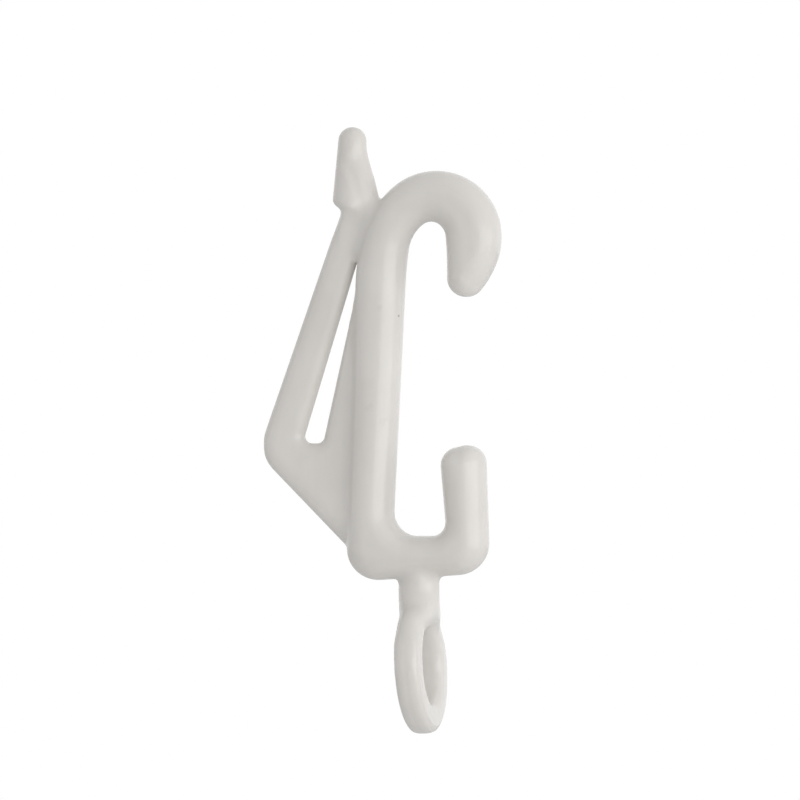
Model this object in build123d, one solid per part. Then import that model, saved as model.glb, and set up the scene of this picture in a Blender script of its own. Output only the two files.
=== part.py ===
from build123d import *
import math
import os

os.makedirs("parts", exist_ok=True)

# Curtain track glider, moulded in one piece. Millimetres, +Z up.
# The part lies in the XZ plane and is the same to both sides of it.
# The origin is the point under the arch of the hook that rests on the rail.
# The throat opens toward +X, and the sprung finger stands on the -X side.

# The hook body: one round-edged bar bent to a C.
DEPTH = 4.2            # bar, front to back
ROUND = 1.38           # rolled edge all round the bar, and its smallest corners
THROAT_H = 25.15       # arch to run, inside
OUTER_BENDS = ((13.3, 24.4), (6.33, 28.6), (5.17, 143.75))   # over the arch: radius, turn in degrees
INNER_BENDS = ((26.0, 5.9), (3.0, 44.7), (1.365, 121.2))     # under the arch, from the back bar on
BAR_TOP = -4.9         # where the straight back bar begins under the arch
BAR_X = -2.33          # inner face of the back bar there
BAR_W = 3.72           # back bar thickness at its top end
BAR_FOOT_W = 3.5       # and at its foot
BAR_SHIFT = 1.02       # how far the back bar leans out toward its foot
FOOT_W = 4.74          # throat width at the foot
RUN_T = 3.46           # bottom run thickness under the back bar
RUN_RISE = 0.68        # how much the run thins toward the front
THROAT_BACK_R = 2.05   # throat's lower corner at the back bar
THROAT_FRONT_R = 1.2   # and at the front leg
BACK_CORNER_R = 2.4    # outer corner under the back bar
FRONT_CORNER_R = 2.45  # and under the front leg
LEG_W = 3.18           # front leg thickness at its foot
LEG_TOP_W = 3.44       # and at its top
LEG_H = 7.5            # front leg, run to its outer top corner
LEG_TOP_DROP = 0.7     # how far its top slopes down to the inside
LEG_LEAN = 0.6         # how far the leg leans in over its height
TIP_Z = -6.0           # lowest point of the hook tip
TIP_X = 2.80           # and where it is

# The plate behind the back bar: a web and a sprung finger with a slot between.
PLATE_T = 2.6          # plate thickness
PLATE_ROUND = 0.8      # its rolled edge
PLATE_SUNK = 1.0       # how far its hidden side lies inside the back bar
FINGER_FOOT_W = 3.08   # finger thickness at the heel, square to its length
FINGER_TOP_W = 2.26    # and under the head
FINGER_LEAN = 17.2     # lean of the finger's inner face from upright, degrees
SLOT_FOOT = (-10.64, -17.76)   # foot of the slot on the finger's side
SLOT_W = 1.82          # slot width at its foot
SLOT_R = 0.62          # its rounded corners
WEB_LEAN = 12.7        # lean of the web's edge along the slot, degrees
WEB_TOP = -4.4         # where the web runs into the back bar
HEEL_DROP = 45.4       # slope of the web's lower edge, degrees
HEEL_Z = -18.50        # height of the heel's corner
HEEL_R = 2.8           # and its rounding

# The head of the finger: a bullet turned about an upright axis, with a flat back.
HEAD_X = -6.50         # the bullet's axis
HEAD_Z = 0.66          # height of its foot there
HEAD_TOP = 7.4         # and of its tip
HEAD_TIP_R = 1.12      # its round tip
HEAD_SIDE = 5.4        # slope of its side from upright, degrees
LIP = 0.35             # bevelled lip of the bullet's foot
BACK_TOP = (-5.22, 5.0)     # top of the flat back
BACK_FOOT = (-4.42, 1.6)    # its foot, which stands proud of the finger
BACK_STEP = 1.3        # height over which it runs back to the finger
BACK_R = 0.8           # its rounded corners

# The neck and the eye.
NECK_X = -1.06         # neck axis
NECK_D = 3.28          # neck diameter
# How the neck flattens on its way from the run (0) to the hole (1): its width along X
# and its width along Y, as shares of its diameter.
NECK_FLARE = ((0.25, 1.0, 1.0), (0.55, 0.95, 1.15), (0.8, 0.8, 1.4), (1.0, 0.6, 1.6))
EYE_DROP = 6.79        # centre of the eye below the run
EYE_X = -0.93          # and where it is
EYE_R = 5.38           # outer radius of the eye
BORE_R = 2.95          # hole
EYE_T = 2.10           # eye thickness along the hole, and its fully round rim
EYE_FLATS = 7          # narrow flats that make up the round of the rim
EYE_LEAN = 3.2         # the eye leans this much, foot toward +X, degrees


def down_the_bar(z):
    """How far down the back bar a height lies: 0 at its top end, 1 at the run."""
    return (z - BAR_TOP) / (-THROAT_H - BAR_TOP)


def bar_inner_x(z):
    """X of the back bar's inner face at height z."""
    return BAR_X - BAR_SHIFT * down_the_bar(z)


def bar_outer_x(z):
    """X of the back bar's outer face at height z."""
    return bar_inner_x(z) - BAR_W + (BAR_W - BAR_FOOT_W) * down_the_bar(z)


def bend(start, heading, radius, turn):
    """An arc that turns clockwise, with the point and the heading where it ends, degrees."""
    facing = math.radians(heading)
    middle_x = start[0] + radius * math.sin(facing)
    middle_z = start[1] - radius * math.cos(facing)
    points = []
    for share in (0.5, 1.0):
        a = math.radians(heading - share * turn)
        points.append((middle_x - radius * math.sin(a), middle_z + radius * math.cos(a)))
    return ThreePointArc(start, *points), points[1], heading - turn


def chain(start, heading, bends):
    """Arcs one after the other, each tangent to the last."""
    arcs = []
    for radius, turn in bends:
        arc, start, heading = bend(start, heading, radius, turn)
        arcs.append(arc)
    return arcs, start, heading


def onto_tip(start, heading, side):
    """The last arc, which runs onto the round tip from outside (side 1) or inside (side -1)."""
    facing = math.radians(heading)
    right = (math.sin(facing), -math.cos(facing))
    gap = (start[0] - TIP_X, start[1] - TIP_Z - ROUND)
    reach = gap[0] * right[0] + gap[1] * right[1] + side * ROUND
    radius = (ROUND ** 2 - gap[0] ** 2 - gap[1] ** 2) / (2 * reach)
    to_x = -gap[0] - radius * right[0]
    to_z = -gap[1] - radius * right[1]
    long = math.hypot(to_x, to_z)
    end = (TIP_X + side * ROUND * to_x / long, TIP_Z + ROUND + side * ROUND * to_z / long)
    return TangentArc(start, end, tangent=(math.cos(facing), math.sin(facing))), end


def arch(out_foot, out_heading, in_foot, in_heading):
    """The hook's outline from the back bar's outer face over the tip to its inner face."""
    over, out_end, out_way = chain(out_foot, out_heading, OUTER_BENDS)
    under, in_end, in_way = chain(in_foot, in_heading, INNER_BENDS)
    last_out, tip_out = onto_tip(out_end, out_way, 1)
    last_in, tip_in = onto_tip(in_end, in_way, -1)
    tip = ThreePointArc(tip_out, (TIP_X, TIP_Z), tip_in)
    return over + [last_out, tip, last_in] + under


def hook_face():
    """Flat outline of the C in the XZ plane."""
    foot = -THROAT_H
    out_x = bar_outer_x(foot)
    in_x = bar_inner_x(foot)
    leg_in = in_x + FOOT_W
    leg_out = leg_in + LEG_W
    leg_top = foot + LEG_H
    low = foot - RUN_T
    height = THROAT_H + BAR_TOP
    out_foot = (bar_outer_x(BAR_TOP), BAR_TOP)
    in_foot = (bar_inner_x(BAR_TOP), BAR_TOP)
    out_heading = math.degrees(math.atan2(height, BAR_SHIFT + BAR_FOOT_W - BAR_W))
    in_heading = math.degrees(math.atan2(height, BAR_SHIFT))
    lines = Curve() + arch(out_foot, out_heading, in_foot, in_heading)
    pts = [
        in_foot,
        (in_x, foot),
        (leg_in, foot),
        (leg_in - LEG_LEAN, leg_top - LEG_TOP_DROP),
        (leg_in - LEG_LEAN + LEG_TOP_W, leg_top),
        (leg_out, low + RUN_RISE),
        (out_x, low),
        out_foot,
    ]
    lines += Polyline(*pts)
    face = make_face(lines.edges())
    radii = (THROAT_BACK_R, THROAT_FRONT_R, ROUND, ROUND, FRONT_CORNER_R, BACK_CORNER_R)
    for (x, z), r in zip(pts[1:7], radii):
        corner = face.vertices().sort_by_distance((x, z, 0))[0]
        face = fillet(corner, r)
    return face


def upright(face):
    """Turns a flat outline drawn as (x, z) into the XZ plane."""
    return Plane.XZ * face


def thick(face, depth, rolled, bare=()):
    """An outline made solid to both sides of the XZ plane, its rims rolled.

    The rims that pass through a bare point (x, z) stay square.
    """
    body = extrude(upright(face), depth / 2, both=True)
    rims = [e for e in body.edges() if abs(abs(e.center().Y) - depth / 2) < 1e-4]
    for side in (-depth / 2, depth / 2):
        for x, z in bare:
            spot = Vector(x, side, z)
            rims = [e for e in rims if e.distance_to(spot) > 1e-3]
    return fillet(rims, rolled)


def hook():
    """The C itself: arch, back bar, bottom run and front leg."""
    return thick(hook_face(), DEPTH, ROUND)


def finger_inner_x(z):
    """X of the finger's inner face at height z."""
    return SLOT_FOOT[0] + (z - SLOT_FOOT[1]) * math.tan(math.radians(FINGER_LEAN))


def plate_face():
    """Flat outline of the web and the finger in the XZ plane."""
    lean = math.radians(FINGER_LEAN)
    top_z = BACK_FOOT[1] - BACK_STEP
    top_in = (finger_inner_x(top_z), top_z)
    top_out = (finger_inner_x(BACK_FOOT[1]) - FINGER_TOP_W / math.cos(lean), BACK_FOOT[1])
    foot_out = SLOT_FOOT[0] - FINGER_FOOT_W / math.cos(lean)
    share = (SLOT_FOOT[1] - HEEL_Z) / (top_out[1] - SLOT_FOOT[1])
    heel = (foot_out - (top_out[0] - foot_out) * share, HEEL_Z)
    drop = math.tan(math.radians(HEEL_DROP))
    inside = bar_outer_x(HEEL_Z) + PLATE_SUNK
    low = (inside, HEEL_Z - (inside - heel[0]) * drop)
    web_foot = (SLOT_FOOT[0] + SLOT_W, SLOT_FOOT[1])
    web_x = web_foot[0] + (WEB_TOP - web_foot[1]) * math.tan(math.radians(WEB_LEAN))
    pts = [
        heel,
        top_out,
        (HEAD_X, BACK_TOP[1]),
        BACK_TOP,
        BACK_FOOT,
        top_in,
        SLOT_FOOT,
        web_foot,
        (web_x, WEB_TOP),
        (bar_outer_x(WEB_TOP) + PLATE_SUNK, WEB_TOP),
        low,
    ]
    face = make_face(Polyline(*pts, close=True).edges())
    turns = [
        (heel, HEEL_R),
        (SLOT_FOOT, SLOT_R),
        (web_foot, SLOT_R),
        (BACK_TOP, BACK_R),
        (BACK_FOOT, BACK_R),
        (top_in, 2 * BACK_R),
    ]
    for (x, z), r in turns:
        corner = face.vertices().sort_by_distance((x, z, 0))[0]
        face = fillet(corner, r)
    hidden = [middle(top_out, pts[2]), middle(pts[-3], pts[-2]), middle(pts[-2], low)]
    return face, hidden


def middle(a, b):
    """The point halfway between two points."""
    return ((a[0] + b[0]) / 2, (a[1] + b[1]) / 2)


def plate():
    """The web and the sprung finger; its ends inside the bar and the head stay square."""
    face, hidden = plate_face()
    return thick(face, PLATE_T, PLATE_ROUND, hidden)


def head():
    """The barbed head: a bullet whose foot is cut square to the finger."""
    tip, foot, _ = bend((0, HEAD_TOP), 0, HEAD_TIP_R, 90 - HEAD_SIDE)
    low = HEAD_Z - HEAD_TOP / 4
    flare = (foot[1] - low) * math.tan(math.radians(HEAD_SIDE))
    outline = Curve() + [tip, Polyline(foot, (foot[0] + flare, low), (0, low), (0, HEAD_TOP))]
    bullet = Pos(HEAD_X, 0, 0) * revolve(upright(make_face(outline.edges())), Axis.Z)
    cut = Plane((HEAD_X, 0, HEAD_Z)).rotated((0, FINGER_LEAN, 0))
    bullet -= cut * Pos(0, 0, -HEAD_TOP) * Box(4 * HEAD_TOP, 4 * HEAD_TOP, 2 * HEAD_TOP)
    return chamfer(bullet.faces().sort_by(Axis.Z)[0].edges(), LIP)


def neck():
    """The round neck, which flattens and widens into the eye."""
    under_run = -THROAT_H - RUN_T
    drop = EYE_DROP - BORE_R
    shapes = [Plane((NECK_X, 0, under_run + RUN_T / 2)) * Ellipse(NECK_D / 2, NECK_D / 2)]
    for share, across, deep in NECK_FLARE:
        place = Plane((NECK_X, 0, under_run - share * drop))
        shapes.append(place * Ellipse(across * NECK_D / 2, deep * NECK_D / 2))
    return loft(shapes)


def eye():
    """The eye with its round rim, its hole along X, and the tool that cuts the hole."""
    half = EYE_T / 2
    inner = BORE_R / 2
    rim = []
    for step in range(EYE_FLATS + 1):
        a = math.pi * (step / EYE_FLATS - 0.5)
        rim.append((EYE_R - half + half * math.cos(a), half * math.sin(a)))
    outline = Polyline((inner, half), (inner, -half), *rim, close=True)
    ring = revolve(upright(make_face(outline.edges())), Axis.Z)
    centre = Plane((EYE_X, 0, -THROAT_H - RUN_T - EYE_DROP)).rotated((0, -EYE_LEAN, 0))
    return centre * Rot(0, 90, 0) * ring, centre * Rot(0, 90, 0) * Cylinder(BORE_R, 3 * EYE_T)


def glider():
    """The whole moulding."""
    ring, hole = eye()
    return hook() + plate() + head() + neck() + ring - hole


if __name__ == "__main__":
    export_step(glider(), "parts/glider.step")
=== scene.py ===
import logging
import math
from dataclasses import dataclass, field
from enum import Enum

import bmesh
import bpy
import numpy as np
from mathutils import Matrix, Vector
from mathutils.bvhtree import BVHTree
from mathutils.kdtree import KDTree


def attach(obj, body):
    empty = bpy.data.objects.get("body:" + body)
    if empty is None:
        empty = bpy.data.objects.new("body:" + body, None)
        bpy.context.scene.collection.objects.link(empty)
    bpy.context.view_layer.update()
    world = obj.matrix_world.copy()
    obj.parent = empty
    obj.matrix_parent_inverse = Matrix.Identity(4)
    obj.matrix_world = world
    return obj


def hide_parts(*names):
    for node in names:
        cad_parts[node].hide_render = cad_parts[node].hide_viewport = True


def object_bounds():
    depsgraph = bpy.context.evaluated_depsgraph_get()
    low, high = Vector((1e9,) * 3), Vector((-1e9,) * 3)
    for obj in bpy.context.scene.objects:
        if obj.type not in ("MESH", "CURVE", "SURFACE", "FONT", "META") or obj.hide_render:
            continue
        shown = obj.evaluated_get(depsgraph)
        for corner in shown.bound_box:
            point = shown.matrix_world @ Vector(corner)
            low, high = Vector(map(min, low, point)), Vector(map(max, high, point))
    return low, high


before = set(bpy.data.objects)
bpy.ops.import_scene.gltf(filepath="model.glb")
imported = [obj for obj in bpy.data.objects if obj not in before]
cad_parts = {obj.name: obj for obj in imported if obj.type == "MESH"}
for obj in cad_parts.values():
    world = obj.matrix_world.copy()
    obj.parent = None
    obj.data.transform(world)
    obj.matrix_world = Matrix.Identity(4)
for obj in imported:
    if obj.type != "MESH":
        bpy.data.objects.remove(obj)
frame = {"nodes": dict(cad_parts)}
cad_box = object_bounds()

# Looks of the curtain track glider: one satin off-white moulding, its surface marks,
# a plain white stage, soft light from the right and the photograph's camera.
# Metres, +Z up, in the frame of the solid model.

MM = 0.001
CAMERA_TURN = 13.5          # degrees round the part from a look along +Y
TINY = 1e-6                 # keeps a division from being by nothing
ON_FLAT = 1e-4              # a point this near the flat, in millimetres, lies over it
FLAT_TOLERANCE = 0.002      # how level a flat's corners are, in millimetres
RIM_STEP = 0.05             # spacing of the points along a flat's rim, in millimetres
NOISE_RANGE = (0.3, 0.7)    # where nearly all of a noise's values lie
IN_AND_OUT = (0.5, -0.53)   # shares of one smoothing step inward and the next outward
CREASE_FADE = 0.9           # how much of a crease's mask reaches the next points
CREASE_GAIN = 2.5           # how much of the spread mask counts in full

log = logging.getLogger("glider")


class Slot(Enum):
    """Material slots of the record."""

    MOULDING = "moulding"


class Axis(Enum):
    """The way a grain of the surface is drawn out."""

    NONE = (1.0, 1.0, 1.0)
    UPRIGHT = (1.0, 1.0, 0.16)


class NodeBench:
    """A material's node tree with short calls for the few nodes that the finishes use."""

    def __init__(self, name: str) -> None:
        """Makes an empty node material.

        Args:
            name: Name of the new material.
        """
        self.material: bpy.types.Material = bpy.data.materials.new(name)
        self.material.use_nodes = True
        self.tree: bpy.types.NodeTree = self.material.node_tree
        self.tree.nodes.clear()
        self.places: bpy.types.NodeSocket = self.add("ShaderNodeTexCoord").outputs["Object"]

    def add(self, kind: str, **settings: object) -> bpy.types.Node:
        """Adds one node.

        Args:
            kind: Blender's name of the node type.
            settings: Values for the node's own properties.

        Returns:
            The new node.
        """
        node = self.tree.nodes.new(kind)
        for key, value in settings.items():
            setattr(node, key, value)
        return node

    def join(self, source: bpy.types.NodeSocket, target: bpy.types.NodeSocket) -> None:
        """Links an output socket to an input socket."""
        self.tree.links.new(source, target)

    def drawn_out(self, way: Axis) -> bpy.types.NodeSocket:
        """The object's coordinates stretched along one way.

        Args:
            way: Which way the pattern is drawn out.

        Returns:
            A vector socket for a texture.
        """
        if way is Axis.NONE:
            return self.places
        node = self.add("ShaderNodeVectorMath", operation="MULTIPLY")
        self.join(self.places, node.inputs[0])
        node.inputs[1].default_value = way.value
        return node.outputs[0]

    def noise(self, grain: float, detail: float, way: Axis = Axis.NONE) -> bpy.types.NodeSocket:
        """A noise whose patches are about one grain wide.

        Args:
            grain: Width of a patch in metres.
            detail: Octaves of finer noise in it.
            way: Which way the patches are drawn out.

        Returns:
            The noise as a value from 0 to 1.
        """
        node = self.add("ShaderNodeTexNoise")
        self.join(self.drawn_out(way), node.inputs["Vector"])
        node.inputs["Scale"].default_value = 1.0 / grain
        node.inputs["Detail"].default_value = detail
        return node.outputs["Fac"]

    def remap(
        self, value: bpy.types.NodeSocket, low: float, high: float, to: tuple[float, float]
    ) -> bpy.types.NodeSocket:
        """A value spread from one range to another and kept inside it.

        Args:
            value: The value to spread.
            low: Input that gives the first output.
            high: Input that gives the second output.
            to: The two outputs.

        Returns:
            The new value.
        """
        node = self.add("ShaderNodeMapRange", interpolation_type="SMOOTHSTEP")
        self.join(value, node.inputs["Value"])
        node.inputs["From Min"].default_value = low
        node.inputs["From Max"].default_value = high
        node.inputs["To Min"].default_value = to[0]
        node.inputs["To Max"].default_value = to[1]
        return node.outputs["Result"]

    def math(
        self, operation: str, a: bpy.types.NodeSocket, b: bpy.types.NodeSocket | float
    ) -> bpy.types.NodeSocket:
        """One sum, product or the like of two values.

        Args:
            operation: Blender's name of the operation.
            a: First value.
            b: Second value, a socket or a number.

        Returns:
            The result.
        """
        node = self.add("ShaderNodeMath", operation=operation)
        self.join(a, node.inputs[0])
        if isinstance(b, (int, float)):
            node.inputs[1].default_value = b
        else:
            self.join(b, node.inputs[1])
        return node.outputs[0]

    def near(self, spot: tuple[float, float, float], reach: float, ragged: float) -> bpy.types.NodeSocket:
        """A mask that is 1 at a spot of the object and fades out within its reach.

        Args:
            spot: The spot in metres.
            reach: How far the mask reaches.
            ragged: Share of the reach by which its edge wanders.

        Returns:
            The mask from 0 to 1.
        """
        node = self.add("ShaderNodeVectorMath", operation="DISTANCE")
        self.join(self.places, node.inputs[0])
        node.inputs[1].default_value = spot
        edge_grain, core = 0.7 * reach, 0.45 * reach
        wander = self.remap(self.noise(edge_grain, 2.0), *NOISE_RANGE, (-ragged * reach, ragged * reach))
        distance = self.math("ADD", node.outputs["Value"], wander)
        return self.remap(distance, core, reach, (1.0, 0.0))

    def mix(
        self, share: bpy.types.NodeSocket, a: bpy.types.NodeSocket | tuple, b: tuple
    ) -> bpy.types.NodeSocket:
        """A colour between two others.

        Args:
            share: How much of the second colour shows.
            a: First colour, a socket or linear numbers.
            b: Second colour in linear numbers.

        Returns:
            The mixed colour.
        """
        node = self.add("ShaderNodeMix", data_type="RGBA")
        self.join(share, node.inputs[0])
        if isinstance(a, tuple):
            node.inputs[6].default_value = (*a, 1.0)
        else:
            self.join(a, node.inputs[6])
        node.inputs[7].default_value = (*b, 1.0)
        return node.outputs[2]

    def bump(
        self, height: bpy.types.NodeSocket, depth: float, under: bpy.types.NodeSocket | None = None
    ) -> bpy.types.NodeSocket:
        """A bump laid over an earlier one.

        Args:
            height: The bump's height from 0 to 1.
            depth: What a height of 1 is, in metres.
            under: Normal of the bump below it.

        Returns:
            The bent normal.
        """
        node = self.add("ShaderNodeBump")
        self.join(height, node.inputs["Height"])
        node.inputs["Distance"].default_value = depth
        node.inputs["Strength"].default_value = 1.0
        if under is not None:
            self.join(under, node.inputs["Normal"])
        return node.outputs["Normal"]


@dataclass(frozen=True)
class Mark:
    """One small mark on the moulding.

    Attributes:
        spot: Where it is, in millimetres.
        reach: Its radius, in millimetres.
        shade: Share of the surface's own colour that it takes away.
    """

    spot: tuple[float, float, float]
    reach: float
    shade: float


@dataclass(frozen=True)
class SatinPlastic:
    """The off-white moulded plastic, a little translucent, with a satin skin.

    Colours are linear. Grains and depths are in millimetres.

    Attributes:
        pale: Its main colour.
        cloudy: Its colour in the clouds and streaks.
        soiled: Colour of the marks.
        cloud_grain: Width of a cloud.
        cloud_range: Values of the noise between which a cloud fades in.
        streak_grain: Width of an upright streak.
        streak_range: Values of the noise between which a streak fades in.
        streak_share: How strong the streaks are next to the clouds.
        skin_grain: Width of the finest waves of the skin.
        skin_depth: Their height.
        wave_grain: Width of the broad waves.
        wave_depth: Their height.
        patch_grain: Width of the patches in which the gloss varies.
        smooth: Roughness of the glossiest patches.
        rough: Roughness of the dullest ones.
        bend: Index of refraction.
        light_depth: How deep the light goes in.
        light_share: Share of the light that does.
        light_tint: How far each colour of it goes next to red.
        ragged: Share of a mark's reach by which its edge wanders.
        marks: The small marks on it.
    """

    pale: tuple[float, float, float] = (0.742, 0.718, 0.685)
    cloudy: tuple[float, float, float] = (0.708, 0.684, 0.650)
    soiled: tuple[float, float, float] = (0.16, 0.15, 0.13)
    cloud_grain: float = 5.0
    cloud_range: tuple[float, float] = (0.35, 0.65)
    streak_grain: float = 0.9
    streak_range: tuple[float, float] = (0.4, 0.7)
    streak_share: float = 0.35
    skin_grain: float = 0.16
    skin_depth: float = 0.0005
    wave_grain: float = 2.6
    wave_depth: float = 0.006
    patch_grain: float = 1.4
    smooth: float = 0.19
    rough: float = 0.25
    bend: float = 1.48
    light_depth: float = 0.40
    light_share: float = 0.20
    light_tint: tuple[float, float, float] = (1.0, 0.92, 0.8)
    ragged: float = 0.35
    marks: tuple[Mark, ...] = (
        Mark((-2.50, -0.90, -7.60), 0.14, 0.55),
        Mark((-3.75, -2.10, -7.00), 0.30, 0.06),
        Mark((-4.60, -2.05, -14.9), 0.45, 0.05),
        Mark((-3.40, -1.95, -15.9), 0.50, 0.05),
    )

    def colour(self, bench: NodeBench) -> bpy.types.NodeSocket:
        """The plastic's colour: faint clouds, faint flow streaks and the marks."""
        clouds = bench.remap(bench.noise(self.cloud_grain * MM, 3.0), *self.cloud_range, (0.0, 1.0))
        flow = bench.noise(self.streak_grain * MM, 2.0, Axis.UPRIGHT)
        streaks = bench.remap(flow, *self.streak_range, (0.0, 1.0))
        both = bench.math("ADD", clouds, bench.math("MULTIPLY", streaks, self.streak_share))
        share = bench.math("MULTIPLY", both, 1.0 / (1.0 + self.streak_share))
        shown = bench.mix(share, self.pale, self.cloudy)
        for mark in self.marks:
            spot = tuple(c * MM for c in mark.spot)
            mask = bench.near(spot, mark.reach * MM, self.ragged)
            shown = bench.mix(bench.math("MULTIPLY", mask, mark.shade), shown, self.soiled)
        return shown

    def material(self, name: str) -> bpy.types.Material:
        """Builds the plastic.

        Args:
            name: Name of the material.

        Returns:
            The material.
        """
        bench = NodeBench(name)
        shader = bench.add("ShaderNodeBsdfPrincipled")
        bench.join(self.colour(bench), shader.inputs["Base Color"])
        patches = bench.noise(self.patch_grain * MM, 3.0)
        gloss = bench.remap(patches, *NOISE_RANGE, (self.smooth, self.rough))
        bench.join(gloss, shader.inputs["Roughness"])
        waves = bench.bump(bench.noise(self.wave_grain * MM, 1.0), self.wave_depth * MM)
        skin = bench.bump(bench.noise(self.skin_grain * MM, 2.0), self.skin_depth * MM, waves)
        bench.join(skin, shader.inputs["Normal"])
        shader.inputs["IOR"].default_value = self.bend
        shader.inputs["Subsurface Weight"].default_value = self.light_share
        shader.inputs["Subsurface Radius"].default_value = self.light_tint
        shader.inputs["Subsurface Scale"].default_value = self.light_depth * MM
        output = bench.add("ShaderNodeOutputMaterial")
        bench.join(shader.outputs[0], output.inputs["Surface"])
        return bench.material


@dataclass(frozen=True)
class PlainPaper:
    """The matt white paper of the floor.

    Attributes:
        white: Its colour, linear.
        roughness: How matt it is.
        shine: Level of its faint shine.
    """

    white: tuple[float, float, float] = (0.86, 0.86, 0.86)
    roughness: float = 0.9
    shine: float = 0.1

    def material(self, name: str) -> bpy.types.Material:
        """Builds the paper.

        Args:
            name: Name of the material.

        Returns:
            The material.
        """
        bench = NodeBench(name)
        shader = bench.add("ShaderNodeBsdfPrincipled")
        shader.inputs["Base Color"].default_value = (*self.white, 1.0)
        shader.inputs["Roughness"].default_value = self.roughness
        shader.inputs["Specular IOR Level"].default_value = self.shine
        output = bench.add("ShaderNodeOutputMaterial")
        bench.join(shader.outputs[0], output.inputs["Surface"])
        return bench.material


@dataclass(frozen=True)
class Blend:
    """A soft blend along one inner corner of the moulding.

    Lengths are in millimetres.

    Attributes:
        start: One end of the corner, as (x, z).
        end: Its other end.
        reach: How far from the corner the blend goes.
        rounds: How many times it is smoothed.
        both: Whether outer corners near it are softened as well.
    """

    start: tuple[float, float]
    end: tuple[float, float]
    reach: float
    rounds: int
    both: bool = False

    def mask(self, points: np.ndarray) -> np.ndarray:
        """How much of the blend each point gets, from 0 to 1.

        Args:
            points: The points, one row each.

        Returns:
            One share for each point.
        """
        a = np.array(self.start)
        run = np.array(self.end) - a
        flat = points[:, (0, 2)] - a
        along = np.clip(flat @ run / max(run @ run, TINY), 0.0, 1.0)
        away = np.linalg.norm(flat - along[:, None] * run, axis=1)
        return np.clip(2.0 * (1.0 - away / self.reach), 0.0, 1.0)


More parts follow.
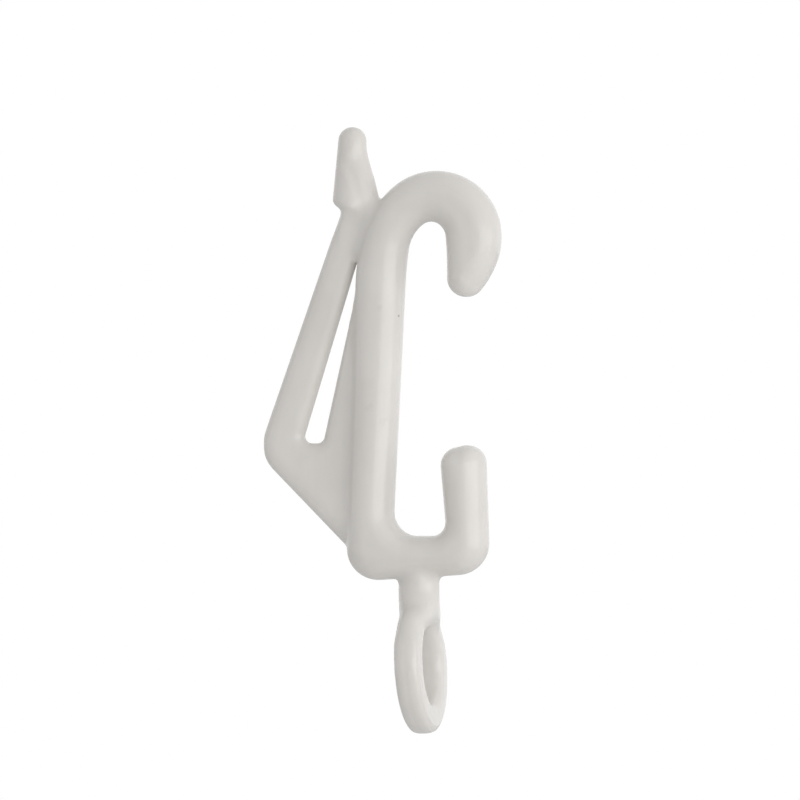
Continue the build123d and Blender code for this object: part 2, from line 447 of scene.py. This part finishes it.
@dataclass
class Skin:
    """A fine closed mesh whose points can be smoothed and moved, in millimetres.

    Attributes:
        grain: Side of the voxels that the mesh is made from.
        pace: Share of the way to its neighbours' mean that a point goes in one round.
        renewal: Rounds after which the normals are found again.
        points: Its points, one row each.
        edges: Pairs of points.
        faces: The mesh data that holds the faces.
    """

    grain: float
    pace: float = 0.5
    renewal: int = 60
    points: np.ndarray = field(init=False)
    edges: np.ndarray = field(init=False)
    faces: bpy.types.Mesh = field(init=False)

    def grow(self, solid: bpy.types.Object, fillers: tuple["Wedge | Collar", ...]) -> None:
        """Makes the fine mesh round a solid and the small fillers on it.

        Args:
            solid: The object of the solid, in metres.
            fillers: What is moulded onto it.
        """
        shape = bmesh.new()
        shape.from_mesh(solid.data)
        bmesh.ops.scale(shape, vec=(1.0 / MM,) * 3, verts=shape.verts)
        for filler in fillers:
            filler.add_to(shape)
        rough = bpy.data.meshes.new("skin_holder")
        shape.to_mesh(rough)
        shape.free()
        holder = bpy.data.objects.new("skin_holder", rough)
        bpy.context.scene.collection.objects.link(holder)
        voxels = holder.modifiers.new("voxels", "REMESH")
        voxels.mode = "VOXEL"
        voxels.voxel_size = self.grain
        grown = holder.evaluated_get(bpy.context.evaluated_depsgraph_get())
        self.faces = bpy.data.meshes.new_from_object(grown)
        bpy.data.objects.remove(holder)
        bpy.data.meshes.remove(rough)
        self.points = np.empty(3 * len(self.faces.vertices))
        self.faces.vertices.foreach_get("co", self.points)
        self.points = self.points.reshape(-1, 3)
        self.edges = np.empty(2 * len(self.faces.edges), dtype=np.int32)
        self.faces.edges.foreach_get("vertices", self.edges)
        self.edges = self.edges.reshape(-1, 2)

    def mean_round(self, values: np.ndarray) -> np.ndarray:
        """The mean of each point's neighbours.

        Args:
            values: One row, or one number, for each point.

        Returns:
            The means, in the same form.
        """
        a, b = self.edges[:, 0], self.edges[:, 1]
        count = len(self.points)
        number = np.bincount(a, minlength=count) + np.bincount(b, minlength=count)
        columns = values.reshape(count, -1)
        means = np.empty_like(columns)
        for i in range(columns.shape[1]):
            total = np.bincount(a, columns[b, i], count) + np.bincount(b, columns[a, i], count)
            means[:, i] = total / np.maximum(number, 1)
        return means.reshape(values.shape)

    def normals(self) -> np.ndarray:
        """The unit normal at each point."""
        self.faces.vertices.foreach_set("co", self.points.ravel())
        self.faces.update()
        found = np.empty(self.points.size)
        self.faces.vertex_normals.foreach_get("vector", found)
        return found.reshape(-1, 3)

    def settle(self, rounds: int) -> None:
        """Smooths away the voxels' steps without shrinking the shape.

        Args:
            rounds: How many times it is smoothed in and out.
        """
        for _ in range(rounds):
            for share in IN_AND_OUT:
                self.points += share * (self.mean_round(self.points) - self.points)

    def soften(self, blend: Blend) -> None:
        """Smooths the mesh along one inner corner.

        Args:
            blend: Where, how far and how much.
        """
        mask = blend.mask(self.points)
        outward = self.normals()
        for i in range(blend.rounds):
            step = self.mean_round(self.points) - self.points
            share = self.pace * mask
            if not blend.both:
                share = share * (np.einsum("ij,ij->i", step, outward) > 0.0)
            self.points += share[:, None] * step
            if (i + 1) % self.renewal == 0:
                outward = self.normals()

    def fill_creases(self, sharp: float, spread: int, rounds: int) -> None:
        """Fills the sharp inner corners with small soft blends.

        Args:
            sharp: How deep a point has to lie under its neighbours' mean to count as a crease.
            spread: How many neighbours wide a blend is.
            rounds: How many times the blend is smoothed.
        """
        outward = self.normals()
        depth = np.einsum("ij,ij->i", self.mean_round(self.points) - self.points, outward)
        mask = (depth > sharp).astype(float)
        for _ in range(spread):
            mask = np.maximum(mask, CREASE_FADE * self.mean_round(mask))
        mask = np.clip(CREASE_GAIN * mask, 0.0, 1.0)
        for _ in range(rounds):
            step = self.mean_round(self.points) - self.points
            rise = np.einsum("ij,ij->i", step, outward)
            self.points += (self.pace * mask * (rise > 0.0))[:, None] * step

    def keep_inside(self, low: np.ndarray, high: np.ndarray, soft: np.ndarray) -> None:
        """Draws the points near the walls of a box back inside it.

        Args:
            low: The box's lowest corner.
            high: Its highest corner.
            soft: How far from the walls along X, Y and Z the pull begins.
        """
        over = np.maximum(self.points - (high - soft), 0.0)
        under = np.maximum(low + soft - self.points, 0.0)
        self.points -= over - soft * np.tanh(over / soft)
        self.points += under - soft * np.tanh(under / soft)

    def finished(self, name: str) -> bpy.types.Object:
        """Makes the object of the finished mesh, in metres.

        Args:
            name: Name of the object.

        Returns:
            The object, smooth shaded.
        """
        self.normals()
        self.faces.transform(Matrix.Scale(MM, 4))
        self.faces.name = name
        self.faces.shade_smooth()
        shown = bpy.data.objects.new(name, self.faces)
        bpy.context.scene.collection.objects.link(shown)
        return shown


@dataclass
class RoundSection:
    """A rounder section for a bar or a plate, which the solid has with flats.

    Lengths are in millimetres.

    Attributes:
        half_depth: Half of its depth along Y.
        half_width: Half of its usual width.
        edge: The solid's rolled edge.
        share: How far the section goes from the solid's towards a true oval.
        swell: How much wider the oval is than the solid, for sides that the oval makes slimmer.
        reach: How far past its surface the change dies out.
    """

    half_depth: float
    half_width: float
    edge: float
    share: float
    swell: float
    reach: float = 0.3

    def flat_side(self, solid: bpy.types.Object) -> tuple[BVHTree, KDTree]:
        """Finds the flat side on the solid.

        Args:
            solid: The object of the solid, in metres.

        Returns:
            The flat's faces, and points along its rim, both laid at y = 0.
        """
        mesh = solid.data
        corners = np.empty(3 * len(mesh.vertices))
        mesh.vertices.foreach_get("co", corners)
        corners = corners.reshape(-1, 3) / MM
        used: dict[tuple[float, float], int] = {}
        flat, faces, rims = [], [], {}
        for face in mesh.polygons:
            places = [corners[i] for i in face.vertices]
            if max(abs(p[1] - self.half_depth) for p in places) > FLAT_TOLERANCE:
                continue
            row = []
            for p in places:
                key = (round(p[0], 3), round(p[2], 3))
                if key not in used:
                    used[key] = len(flat)
                    flat.append(Vector((p[0], 0.0, p[2])))
                row.append(used[key])
            faces.append(row)
            for a, b in zip(row, row[1:] + row[:1]):
                side = (min(a, b), max(a, b))
                rims[side] = rims.get(side, 0) + 1
        spots = []
        for (a, b), times in rims.items():
            if times == 1:
                steps = max(2, int((flat[b] - flat[a]).length / RIM_STEP))
                spots += [flat[a].lerp(flat[b], i / steps) for i in range(steps)]
        tree = KDTree(len(spots))
        for i, spot in enumerate(spots):
            tree.insert(spot, i)
        tree.balance()
        return BVHTree.FromPolygons(flat, faces), tree

    def section_share(self, across: float, deep: float) -> tuple[float, float]:
        """How the oval compares with the solid's section in one direction.

        Args:
            across: Distance from the bar's middle line across it.
            deep: Distance from the bar's middle plane.

        Returns:
            The oval's radius over the solid's, and how far outside the solid the point is.
        """
        far = math.hypot(across, deep)
        if far < TINY:
            return 1.0, 0.0
        c, s = across / far, deep / far
        oval = 1.0 / math.hypot(c / (self.half_width + self.swell), s / self.half_depth)
        core_w, core_d = self.half_width - self.edge, self.half_depth - self.edge
        along = c * core_w + s * core_d
        solid = along + math.sqrt(max(along ** 2 - core_w ** 2 - core_d ** 2 + self.edge ** 2, 0.0))
        if solid * c < core_w:
            solid = self.half_depth / s
        elif solid * s < core_d:
            solid = self.half_width / c
        return oval / solid, far - solid

    def turn(self, skin: Skin, solid: bpy.types.Object) -> np.ndarray:
        """Gives the bar or the plate its round section.

        Args:
            skin: The fine mesh.
            solid: The object of the solid, in metres.

        Returns:
            How far outside the old section each point lay, at most its reach.
        """
        faces, rim = self.flat_side(solid)
        clear = np.full(len(skin.points), self.reach)
        for i, (x, y, z) in enumerate(skin.points):
            here = Vector((x, 0.0, z))
            spot, _, _, away = faces.find_nearest(here)
            if spot is None or away > self.edge + self.reach:
                continue
            inside = rim.find(here)[2] if away < ON_FLAT else 0.0
            across = max(self.half_width - self.edge - inside + away, 0.0)
            size, outside = self.section_share(across, abs(y))
            clear[i] = min(max(outside, 0.0), self.reach)
            if outside > self.reach:
                continue
            size = 1.0 + (size - 1.0) * self.share * min(1.0, 1.0 - outside / self.reach)
            skin.points[i, 1] = y * size
            if away > ON_FLAT:
                pull = across * (1.0 - size) / away
                skin.points[i, 0] += (spot.x - x) * pull
                skin.points[i, 2] += (spot.z - z) * pull
        return clear


@dataclass(frozen=True)
class Wedge:
    """A small upright web of plastic moulded into a gap, in millimetres.

    Attributes:
        outline: Its corners as (x, z).
        half_depth: Half of its depth along Y.
    """

    outline: tuple[tuple[float, float], ...]
    half_depth: float

    def add_to(self, shape: bmesh.types.BMesh) -> None:
        """Adds the wedge to a shape in millimetres.

        Args:
            shape: The shape.
        """
        near = [shape.verts.new((x, -self.half_depth, z)) for x, z in self.outline]
        far = [shape.verts.new((x, self.half_depth, z)) for x, z in self.outline]
        made = [shape.faces.new(near), shape.faces.new(far[::-1])]
        for i in range(len(near)):
            k = (i + 1) % len(near)
            made.append(shape.faces.new((near[k], near[i], far[i], far[k])))
        bmesh.ops.recalc_face_normals(shape, faces=made)


@dataclass(frozen=True)
class Collar:
    """The shoulder in which the neck runs into the eye, in millimetres.

    Attributes:
        rings: Its sections from the top down, each as x, z, half width and half depth.
        sides: Corners of each section.
        squareness: Power of the lowest section's rounded square; the top one is an oval.
    """

    rings: tuple[tuple[float, float, float, float], ...] = (
        (-1.06, -29.0, 1.60, 1.58),
        (-1.05, -29.8, 1.60, 1.75),
        (-1.03, -30.4, 1.58, 2.15),
        (-1.00, -31.0, 1.50, 2.90),
        (-0.97, -31.6, 1.38, 3.55),
        (-0.94, -32.1, 1.16, 3.95),
    )
    sides: int = 40
    squareness: float = 2.6

    def add_to(self, shape: bmesh.types.BMesh) -> None:
        """Adds the collar to a shape in millimetres.

        Args:
            shape: The shape.
        """
        turns = [2.0 * math.pi * i / self.sides for i in range(self.sides)]
        rows = []
        for place, (x, z, wide, deep) in enumerate(self.rings):
            power = 2.0 + (self.squareness - 2.0) * place / (len(self.rings) - 1)
            row = []
            for t in turns:
                c, s = math.cos(t), math.sin(t)
                size = (abs(c) ** power + abs(s) ** power) ** (-1.0 / power)
                row.append(shape.verts.new((x + wide * size * c, deep * size * s, z)))
            rows.append(row)
        made = [shape.faces.new(rows[0]), shape.faces.new(rows[-1][::-1])]
        for upper, lower in zip(rows, rows[1:]):
            for i in range(self.sides):
                k = (i + 1) % self.sides
                made.append(shape.faces.new((upper[i], lower[i], lower[k], upper[k])))
        bmesh.ops.recalc_face_normals(shape, faces=made)


@dataclass
class Eyelet:
    """The eye's own section: its outer rim is squarer than the solid's, its hole's edges are rounder.

    Lengths are in millimetres.

    Attributes:
        centre: Middle of the hole.
        lean: How far its axis leans from X, degrees.
        rim: Radius of the middle of the rim's round.
        half_width: Half of the eye's thickness.
        squareness: Power of the rounded square of the rim's section; 2 is round.
        rim_reach: How far outside the round a point may lie and still be the rim's.
        below: Height under which the eye's rim is free of the neck.
        fade: Height over which the rim's change sets in.
        hole: Radius of the hole.
        hole_edge: How far from the hole the rounding of its edges goes.
        hole_squareness: Power of that rounding.
        hole_reach: How far past the hole's section, as a share, a point may lie and still be moved.
    """

    centre: tuple[float, float, float] = (-0.93, 0.0, -35.40)
    lean: float = 3.2
    rim: float = 4.33
    half_width: float = 1.05
    squareness: float = 3.0
    rim_reach: float = 0.1
    below: float = -33.6
    fade: float = 1.2
    hole: float = 2.95
    hole_edge: float = 0.9
    hole_squareness: float = 2.5
    hole_reach: float = 1.12

    def parts(self, points: np.ndarray) -> tuple[np.ndarray, np.ndarray, np.ndarray, np.ndarray]:
        """Where points lie about the eye's axis.

        Args:
            points: The points, one row each.

        Returns:
            The axis, each point's depth along it, its radius, and its unit way out.
        """
        turn = math.radians(self.lean)
        axis = np.array((math.cos(turn), 0.0, math.sin(turn)))
        from_centre = points - np.array(self.centre)
        deep = from_centre @ axis
        level = from_centre - deep[:, None] * axis
        radius = np.linalg.norm(level, axis=1)
        return axis, deep, radius, level / np.maximum(radius, TINY)[:, None]

    def round_hole(self, skin: Skin) -> None:
        """Rounds both edges of the hole.

        Args:
            skin: The fine mesh.
        """
        axis, deep, radius, outward = self.parts(skin.points)
        within = self.hole + self.hole_edge - radius
        a = np.abs(within) / self.hole_edge
        b = np.abs(deep) / self.half_width
        square = np.maximum(a, b)
        power = self.hole_squareness
        rounded = (a ** power + b ** power) ** (1.0 / power)
        near = (within > 0.0) & (square < self.hole_reach)
        size = np.where(near, square / np.maximum(rounded, TINY), 1.0)
        skin.points += (within * (1.0 - size))[:, None] * outward + (deep * (size - 1.0))[:, None] * axis

    def square_off(self, skin: Skin) -> None:
        """Moves the rim's points out to the squarer section.

        Args:
            skin: The fine mesh.
        """
        axis, deep, radius, outward = self.parts(skin.points)
        out = radius - self.rim
        far = np.hypot(out, deep)
        on_rim = (out > 0.0) & (far < self.half_width + self.rim_reach) & (far > 0.5 * self.half_width)
        c, d = np.abs(out) / np.maximum(far, TINY), np.abs(deep) / np.maximum(far, TINY)
        size = (c ** self.squareness + d ** self.squareness) ** (-1.0 / self.squareness)
        free = np.clip((self.below + self.fade - skin.points[:, 2]) / self.fade, 0.0, 1.0)
        size = 1.0 + (size - 1.0) * free * on_rim
        skin.points += (out * (size - 1.0))[:, None] * outward + (deep * (size - 1.0))[:, None] * axis


@dataclass
class Moulding:
    """The glider itself: a fine skin grown on the solid model's own node.

    Lengths are in millimetres.

    Attributes:
        node: Name of the solid model's node.
        grain: Grain of the skin.
        finish: Its plastic.
        bar: Section of the hook's bar.
        plate: Section of the finger and the web.
        plate_thinning: Share by which finger and web are slimmer than the solid's.
        head_foot: Height under which the plate is thinned.
        plate_front: The x in front of which it isn't.
        fillers: What is moulded into the solid's corners.
        eye: The eye's section.
        wall_pull: How far from the walls of the solid's box, along X, Y and Z, the skin is drawn in.
        first_rounds: Rounds of settling after the sections are turned.
        last_rounds: Rounds of settling at the end.
        creases: Depth of a crease, width of its blend in points, and rounds of smoothing.
        blends: The soft blends along inner corners.
    """

    node: str = "glider"
    grain: float = 0.132
    finish: SatinPlastic = field(default_factory=SatinPlastic)
    bar: RoundSection = field(default_factory=lambda: RoundSection(2.1, 1.78, 1.38, 0.65, 0.15))
    plate: RoundSection = field(default_factory=lambda: RoundSection(1.3, 1.45, 0.8, 0.7, 0.08))
    plate_thinning: float = 0.32
    head_foot: float = 1.0
    plate_front: float = -4.2
    fillers: tuple[Wedge | Collar, ...] = (
        Wedge(
            (
                (-4.78, 3.0),
                (-4.42, 1.6),
                (-3.9, 0.9),
                (-4.6, -1.0),
                (-5.5, -3.0),
                (-6.0, -2.6),
                (-5.6, 1.0),
            ),
            0.95,
        ),
        Wedge(((-6.5, 6.2), (-5.50, 6.2), (-4.37, 1.6), (-4.8, 0.9), (-6.5, 1.2)), 0.6),
        Collar(),
    )
    eye: Eyelet = field(default_factory=Eyelet)
    wall_pull: tuple[float, float, float] = (0.2, 0.04, 0.05)
    first_rounds: int = 8
    last_rounds: int = 4
    creases: tuple[float, int, int] = (0.012, 6, 30)
    blends: tuple[Blend, ...] = (
        Blend((-6.2, -5.0), (-7.0, -24.8), 1.4, 22),
        Blend((-5.2, 0.2), (-6.1, -3.4), 1.3, 40),
        Blend((-5.2, 5.0), (-5.1, 4.6), 1.3, 50, True),
        Blend((-5.5, 5.6), (-5.2, 1.8), 2.2, 150),
        Blend((-8.6, 0.0), (-5.8, 0.6), 1.6, 14, True),
        Blend((-1.0, -32.2), (-1.0, -30.4), 3.0, 120),
        Blend((-1.0, -31.6), (-1.0, -30.6), 2.4, 30, True),
        Blend((-2.6, -28.6), (0.5, -28.3), 1.0, 20),
    )

    def thin_plate(self, skin: Skin, off_bar: np.ndarray) -> None:
        """Thins the finger and the web and keeps their outline.

        Args:
            skin: The fine mesh.
            off_bar: 0 at the bar's own points and 1 away from it.
        """
        below_head = np.clip(self.head_foot - skin.points[:, 2], 0.0, 1.0)
        behind = np.clip(self.plate_front - skin.points[:, 0], 0.0, 1.0)
        share = off_bar * below_head * behind
        skin.points[:, 1] *= 1.0 - self.plate_thinning * share

    def build(self, nodes: dict[str, bpy.types.Object]) -> bpy.types.Object:
        """Grows, rounds and dresses the skin.

        Args:
            nodes: The frame's nodes by name.

        Returns:
            The piece that stands for the node.
        """
        solid = nodes[self.node]
        skin = Skin(self.grain)
        skin.grow(solid, self.fillers)
        off_bar = self.bar.turn(skin, solid) / self.bar.reach
        self.plate.turn(skin, solid)
        self.thin_plate(skin, off_bar)
        skin.settle(self.first_rounds)
        self.eye.square_off(skin)
        self.eye.round_hole(skin)
        skin.fill_creases(*self.creases)
        for blend in self.blends:
            skin.soften(blend)
        skin.settle(self.last_rounds)
        low, high = (np.array(corner) / MM for corner in cad_box)
        skin.keep_inside(low, high, np.array(self.wall_pull))
        shown = skin.finished("glider_skin")
        shown.data.materials.clear()
        shown.data.materials.append(self.finish.material(Slot.MOULDING.value + "_satin"))
        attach(shown, "root")
        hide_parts(self.node)
        return shown


@dataclass
class Stage:
    """A round paper floor under the hanging part, and the white room around it.

    Lengths are in metres.

    Attributes:
        drop: How far the floor lies under the origin.
        radius: Radius of the floor.
        sides: Corners of its rim.
        room_light: Level of the room's light, next to its white.
        from_right: How much more of it comes from the camera's right.
        from_above: How much more of it comes from above and below.
        facing: The camera's turn, degrees.
        paper: The floor's paper.
    """

    drop: float = 0.12
    radius: float = 1.2
    sides: int = 96
    room_light: float = 0.62
    from_right: float = 0.12
    from_above: float = 0.10
    facing: float = CAMERA_TURN
    paper: PlainPaper = field(default_factory=PlainPaper)

    def floor(self) -> bpy.types.Object:
        """Builds the floor as one round sheet."""
        turn = 2.0 * math.pi / self.sides
        turns = [i * turn for i in range(self.sides)]
        rim = [(self.radius * math.cos(t), self.radius * math.sin(t), -self.drop) for t in turns]
        mesh = bpy.data.meshes.new("floor")
        mesh.from_pydata(rim, [], [tuple(range(self.sides))])
        sheet = bpy.data.objects.new("floor", mesh)
        mesh.materials.append(self.paper.material("paper"))
        bpy.context.scene.collection.objects.link(sheet)
        return sheet

    def graded(self, tree: bpy.types.NodeTree) -> bpy.types.NodeSocket:
        """The room's light by direction: more from the right, and more from above and below.

        Args:
            tree: The room's node tree.

        Returns:
            The level of light.
        """
        way = tree.nodes.new("ShaderNodeTexCoord").outputs["Generated"]
        turn = math.radians(self.facing)
        rightward = tree.nodes.new("ShaderNodeVectorMath")
        rightward.operation = "DOT_PRODUCT"
        tree.links.new(way, rightward.inputs[0])
        rightward.inputs[1].default_value = (math.cos(turn), math.sin(turn), 0.0)
        parts = tree.nodes.new("ShaderNodeSeparateXYZ")
        tree.links.new(way, parts.inputs[0])
        upright = tree.nodes.new("ShaderNodeMath")
        upright.operation = "ABSOLUTE"
        tree.links.new(parts.outputs["Z"], upright.inputs[0])
        level = self.room_light
        grades = ((rightward.outputs["Value"], self.from_right), (upright.outputs[0], self.from_above))
        for source, share in grades:
            added = tree.nodes.new("ShaderNodeMath")
            added.operation = "MULTIPLY_ADD"
            tree.links.new(source, added.inputs[0])
            added.inputs[1].default_value = share
            if isinstance(level, float):
                added.inputs[2].default_value = level
            else:
                tree.links.new(level, added.inputs[2])
            level = added.outputs[0]
        return level

    def room(self) -> bpy.types.World:
        """Makes the room: white where it is seen or mirrored, and a plain level of light elsewhere."""
        world = bpy.data.worlds.new("white_room")
        world.use_nodes = True
        tree = world.node_tree
        tree.nodes.clear()
        path = tree.nodes.new("ShaderNodeLightPath")
        seen = path.outputs["Is Camera Ray"]
        for name in ("Is Glossy Ray", "Is Transmission Ray"):
            either = tree.nodes.new("ShaderNodeMath")
            either.operation = "MAXIMUM"
            tree.links.new(seen, either.inputs[0])
            tree.links.new(path.outputs[name], either.inputs[1])
            seen = either.outputs[0]
        level = tree.nodes.new("ShaderNodeMapRange")
        tree.links.new(seen, level.inputs["Value"])
        tree.links.new(self.graded(tree), level.inputs["To Min"])
        level.inputs["To Max"].default_value = 1.0
        white = tree.nodes.new("ShaderNodeBackground")
        tree.links.new(level.outputs["Result"], white.inputs["Strength"])
        white.inputs["Color"].default_value = (1.0, 1.0, 1.0, 1.0)
        output = tree.nodes.new("ShaderNodeOutputWorld")
        tree.links.new(white.outputs[0], output.inputs["Surface"])
        bpy.context.scene.world = world
        return world


@dataclass
class StripLamp:
    """One upright softbox that looks at the middle of the part.

    Attributes:
        name: Name of the lamp.
        first: Where its near edge stands, degrees round to the right of the camera.
        last: Where its far edge stands.
        half_height: How far it reaches above and below the part, degrees.
        brightness: Its brightness next to the white room, which is 1.
        facing: The camera's own turn from a look along +Y, degrees.
        away: Distance in metres.
    """

    name: str
    first: float
    last: float
    half_height: float
    brightness: float
    facing: float = CAMERA_TURN
    away: float = 0.45

    def place(self, target: Vector) -> bpy.types.Object:
        """Hangs the lamp.

        Args:
            target: The point that it looks at.

        Returns:
            The lamp.
        """
        data = bpy.data.lights.new(self.name, "AREA")
        data.shape = "RECTANGLE"
        data.size = 2.0 * self.away * math.tan(math.radians(self.last - self.first) / 2.0)
        data.size_y = 2.0 * self.away * math.tan(math.radians(self.half_height))
        data.energy = self.brightness * math.pi * data.size * data.size_y
        lamp = bpy.data.objects.new(self.name, data)
        turn = math.radians(self.facing + (self.first + self.last) / 2.0)
        way = Vector((math.sin(turn), -math.cos(turn), 0.0))
        lamp.location = target + way * self.away
        upright = Matrix(
            ((math.cos(turn), 0.0, way.x), (math.sin(turn), 0.0, way.y), (0.0, 1.0, 0.0))
        )
        lamp.rotation_mode = "QUATERNION"
        lamp.rotation_quaternion = upright.to_quaternion()
        lamp.visible_camera = False
        bpy.context.scene.collection.objects.link(lamp)
        return lamp


@dataclass
class PhotoCamera:
    """The photograph's camera, read as a long lens with parallel lines.

    Attributes:
        azimuth: Degrees round the part from a look along +Y.
        frame_side: Side of the square image in pixels.
        pixels_per_mm: Scale of the photograph.
        origin_pixel: Where the part's origin is in the image.
        away: Distance of the camera in metres.
        clip: Nearest and farthest distance that it sees, in metres.
    """

    azimuth: float = CAMERA_TURN
    frame_side: float = 800.0
    pixels_per_mm: float = 12.6
    origin_pixel: tuple[float, float] = (432.0, 220.2)
    away: float = 0.4
    clip: tuple[float, float] = (0.01, 5.0)

    def place(self) -> bpy.types.Object:
        """Makes the camera and gives it to the scene.

        Returns:
            The camera.
        """
        turn = math.radians(self.azimuth)
        right = Vector((math.cos(turn), math.sin(turn), 0.0))
        back = Vector((math.sin(turn), -math.cos(turn), 0.0))
        middle = self.frame_side / 2.0
        aside = (middle - self.origin_pixel[0]) / self.pixels_per_mm * MM
        above = (self.origin_pixel[1] - middle) / self.pixels_per_mm * MM
        data = bpy.data.cameras.new("photo_camera")
        data.type = "ORTHO"
        data.ortho_scale = self.frame_side / self.pixels_per_mm * MM
        data.clip_start, data.clip_end = self.clip
        camera = bpy.data.objects.new("photo_camera", data)
        camera.rotation_mode = "QUATERNION"
        camera.rotation_quaternion = back.to_track_quat("Z", "Y")
        camera.location = right * aside + Vector((0.0, 0.0, above)) + back * self.away
        bpy.context.scene.collection.objects.link(camera)
        bpy.context.scene.camera = camera
        return camera


def lamps() -> tuple[StripLamp, ...]:
    """The lamps: one tall softbox to the right of the camera."""
    softbox = StripLamp("right_softbox", first=7.0, last=80.0, half_height=14.0, brightness=1.75)
    return (softbox,)


def main() -> None:
    """Builds the camera, the part's looks, the stage and the lamps in order."""
    logging.basicConfig(level=logging.INFO, format="%(message)s")
    bpy.context.scene.view_settings.view_transform = "Standard"
    PhotoCamera().place()
    shown = Moulding().build(frame["nodes"])
    log.info("%s: %d faces", shown.name, len(shown.data.polygons))
    stage = Stage()
    stage.floor()
    stage.room()
    log.info("stage: floor %.2f m under the origin", stage.drop)
    target = (cad_box[0] + cad_box[1]) / 2.0
    for lamp in lamps():
        lamp.place(target)
        log.info("%s: %.1f times white", lamp.name, lamp.brightness)


if __name__ == "__main__":
    main()
